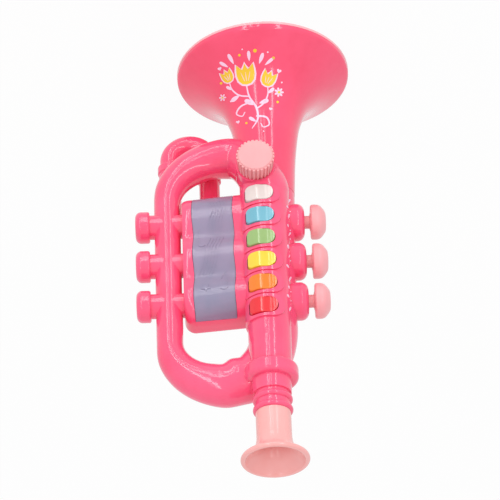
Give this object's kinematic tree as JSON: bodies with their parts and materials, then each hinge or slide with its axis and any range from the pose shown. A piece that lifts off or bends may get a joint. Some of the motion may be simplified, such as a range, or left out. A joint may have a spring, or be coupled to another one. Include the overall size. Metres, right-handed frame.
{
  "type": "toy trumpet",
  "caption": "Moulded plastic toy trumpet standing on its bell, with side piston buttons, coloured front keys, a lilac light window, a ribbed knob and a looped tube.",
  "frame": {"origin": "centre of the bell's rim plane, on which the horn stands", "axes": "+Z from the bell to the mouthpiece, keys face -Y, piston buttons point to -X, the tube loop bulges to +X"},
  "size_m": [0.1551, 0.1234, 0.325],
  "materials": {
    "bell_pink": "moulded glossy plastic",
    "ring_pink": "moulded glossy plastic",
    "shell_pink": "moulded glossy plastic",
    "slide_pink": "moulded glossy plastic",
    "mouth_pink": "moulded glossy plastic",
    "knob_pink": "moulded satin plastic",
    "button_pink": "moulded satin plastic",
    "window_lilac": "tinted translucent plastic",
    "key_white": "moulded glossy plastic",
    "key_blue": "moulded glossy plastic",
    "key_green": "moulded glossy plastic",
    "key_yellow": "moulded glossy plastic",
    "key_orange": "moulded glossy plastic",
    "key_red": "moulded glossy plastic",
    "spring_steel": "plated spring wire",
    "screw_steel": "zinc plated",
    "contact_steel": "nickel plated",
    "cell_wrap": "plain wrapped cell",
    "board_green": "lacquered circuit board",
    "chip_black": "moulded epoxy",
    "diode_clear": "moulded epoxy",
    "mat_grey": "silicone rubber",
    "speaker_black": "lacquered steel",
    "control_black": "moulded plastic"
  },
  "bodies": {
    "horn": {"bell": "bell_pink", "bell_ring": "ring_pink", "front_shell": "shell_pink", "rear_shell": "shell_pink", "mouthpiece": "mouth_pink", "light_window": "window_lilac", "volume_control": "control_black", "valve_spring_1": "spring_steel", "valve_spring_2": "spring_steel", "valve_spring_3": "spring_steel", "tuning_slide": "slide_pink", "battery_door": "shell_pink", "door_screw": "screw_steel", "case_screws": "screw_steel", "battery_cells": "cell_wrap", "battery_contacts": "contact_steel", "circuit_board": "board_green", "board_chips": "chip_black", "light_diodes": "diode_clear", "key_board": "board_green", "key_mat": "mat_grey", "speaker": "speaker_black", "speaker_ring": "control_black"},
    "button_1": {"valve_button_1": "button_pink"},
    "button_2": {"valve_button_2": "button_pink"},
    "button_3": {"valve_button_3": "button_pink"},
    "key_white_body": {"key_white": "key_white"},
    "key_blue_body": {"key_blue": "key_blue"},
    "key_green_body": {"key_green": "key_green"},
    "key_yellow_body": {"key_yellow": "key_yellow"},
    "key_orange_body": {"key_orange": "key_orange"},
    "key_red_body": {"key_red": "key_red"},
    "knob_body": {"knob": "knob_pink", "volume_shaft": "control_black"}
  },
  "joints": [
    {"name": "valve_1_press", "type": "slide", "parent": "horn", "child": "button_1", "axis": [1, 0, 0], "range_m": [0, 0.003], "stiffness_N_per_m": 350, "springref_m": -0.002, "deforming": ["valve_spring_1"]},
    {"name": "valve_2_press", "type": "slide", "parent": "horn", "child": "button_2", "axis": [1, 0, 0], "range_m": [0, 0.003], "stiffness_N_per_m": 350, "springref_m": -0.002, "deforming": ["valve_spring_2"]},
    {"name": "valve_3_press", "type": "slide", "parent": "horn", "child": "button_3", "axis": [1, 0, 0], "range_m": [0, 0.003], "stiffness_N_per_m": 350, "springref_m": -0.002, "deforming": ["valve_spring_3"]},
    {"name": "key_white_press", "type": "slide", "parent": "horn", "child": "key_white_body", "axis": [0, 1, 0], "range_m": [0, 0.0015], "stiffness_N_per_m": 500, "springref_m": -0.001},
    {"name": "key_blue_press", "type": "slide", "parent": "horn", "child": "key_blue_body", "axis": [0, 1, 0], "range_m": [0, 0.0015], "stiffness_N_per_m": 500, "springref_m": -0.001},
    {"name": "key_green_press", "type": "slide", "parent": "horn", "child": "key_green_body", "axis": [0, 1, 0], "range_m": [0, 0.0015], "stiffness_N_per_m": 500, "springref_m": -0.001},
    {"name": "key_yellow_press", "type": "slide", "parent": "horn", "child": "key_yellow_body", "axis": [0, 1, 0], "range_m": [0, 0.0015], "stiffness_N_per_m": 500, "springref_m": -0.001},
    {"name": "key_orange_press", "type": "slide", "parent": "horn", "child": "key_orange_body", "axis": [0, 1, 0], "range_m": [0, 0.0015], "stiffness_N_per_m": 500, "springref_m": -0.001},
    {"name": "key_red_press", "type": "slide", "parent": "horn", "child": "key_red_body", "axis": [0, 1, 0], "range_m": [0, 0.0015], "stiffness_N_per_m": 500, "springref_m": -0.001},
    {"name": "knob_turn", "type": "hinge", "parent": "horn", "child": "knob_body", "pos_m": [0.0086, -0.0282, 0.1001], "axis": [0, -1, 0], "continuous": true}
  ]
}
